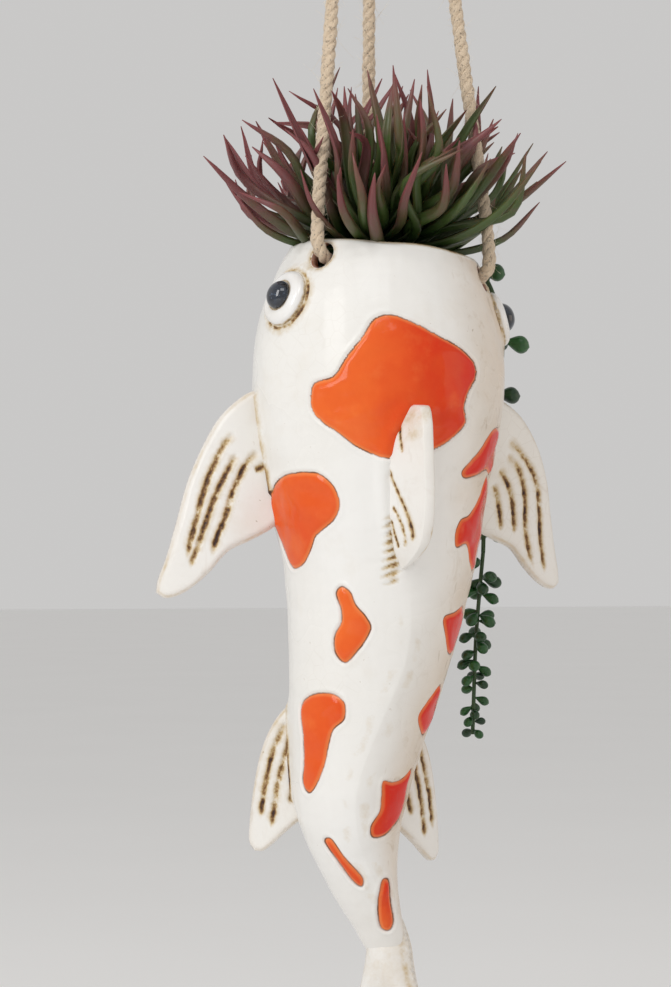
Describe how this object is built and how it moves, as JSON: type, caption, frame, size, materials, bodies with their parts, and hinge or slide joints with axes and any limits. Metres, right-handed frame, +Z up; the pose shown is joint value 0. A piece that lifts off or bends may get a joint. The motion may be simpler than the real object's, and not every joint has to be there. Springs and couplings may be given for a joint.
{
  "type": "hanging planter",
  "caption": "Hanging ceramic koi fish planter, head up, on jute ropes gathered in a loop, its open mouth filled with artificial succulents and a trailing strand.",
  "frame": {"origin": "where the hook bears, inside the top of the hanging loop", "axes": "+Z up along the ropes, the fish's back faces -Y, its left side faces -X"},
  "size_m": [0.1874, 0.1503, 0.7908],
  "materials": {
    "white_glaze": "semi-gloss cream-white glaze with a brown wash in its hollows and orange glazed patches",
    "eye_white_glaze": "glossy white glaze",
    "black_glaze": "high-gloss black glaze",
    "jute": "twisted natural jute with loose fibres",
    "foam": "matt dry florist's foam",
    "green_stem": "matt dark green plastic",
    "succulent_leaf": "satin plastic, green at the base to purple-red at the tips",
    "bead_leaf": "satin dark green plastic"
  },
  "bodies": {
    "loop": {"hanging_loop": "jute"},
    "knot": {"gather_knot": "jute"},
    "neck": {"rope_bundle": "jute"},
    "planter": {"body_shell": "white_glaze", "dorsal_fin": "white_glaze", "tail_fin": "white_glaze", "left_pectoral_fin": "white_glaze", "right_pectoral_fin": "white_glaze", "left_pelvic_fin": "white_glaze", "right_pelvic_fin": "white_glaze", "left_eye_white": "eye_white_glaze", "right_eye_white": "eye_white_glaze", "left_pupil": "black_glaze", "right_pupil": "black_glaze", "left_rope": "jute", "right_rope": "jute", "rear_rope": "jute", "left_stopper_knot": "jute", "right_stopper_knot": "jute", "rear_stopper_knot": "jute", "foam_plug": "foam", "succulent_1_stem": "green_stem", "succulent_2_stem": "green_stem", "succulent_3_stem": "green_stem", "succulent_4_stem": "green_stem", "succulent_5_stem": "green_stem", "succulent_6_stem": "green_stem", "succulent_7_stem": "green_stem", "succulent_1_rosette": "succulent_leaf", "succulent_2_rosette": "succulent_leaf", "succulent_3_rosette": "succulent_leaf", "succulent_4_rosette": "succulent_leaf", "succulent_5_rosette": "succulent_leaf", "succulent_6_rosette": "succulent_leaf", "succulent_7_rosette": "succulent_leaf", "strand_root": "green_stem"},
    "strand_top": {"strand_upper_stem": "green_stem", "strand_leaf_pair_1": "bead_leaf", "strand_leaf_pair_2": "bead_leaf", "strand_leaf_pair_3": "bead_leaf", "strand_leaf_pair_4": "bead_leaf", "strand_leaf_pair_5": "bead_leaf"},
    "strand_end": {"strand_lower_stem": "green_stem", "strand_whorl_1": "bead_leaf", "strand_whorl_2": "bead_leaf", "strand_whorl_3": "bead_leaf", "strand_whorl_4": "bead_leaf", "strand_whorl_5": "bead_leaf", "strand_whorl_6": "bead_leaf", "strand_whorl_7": "bead_leaf", "strand_whorl_8": "bead_leaf", "strand_whorl_9": "bead_leaf"}
  },
  "joints": [
    {"name": "rope_twist", "type": "hinge", "parent": "loop", "child": "knot", "pos_m": [0, 0, -0.0375], "axis": [0, 0, 1], "range_deg": [-90, 90]},
    {"name": "swing_front_back", "type": "hinge", "parent": "knot", "child": "neck", "pos_m": [0, 0, -0.064], "axis": [1, 0, 0], "range_deg": [-25, 25]},
    {"name": "swing_sideways", "type": "hinge", "parent": "neck", "child": "planter", "pos_m": [0, 0, -0.064], "axis": [0, 1, 0], "range_deg": [-25, 25]},
    {"name": "strand_lift", "type": "hinge", "parent": "planter", "child": "strand_top", "pos_m": [0.04419, 0.01098, -0.4169], "axis": [0.4384, -0.8988, 0], "range_deg": [0, 25]},
    {"name": "strand_end_swing", "type": "hinge", "parent": "strand_top", "child": "strand_end", "pos_m": [0.06068, 0.01996, -0.5477], "axis": [0.8988, 0.4384, 0], "range_deg": [-15, 15]}
  ]
}
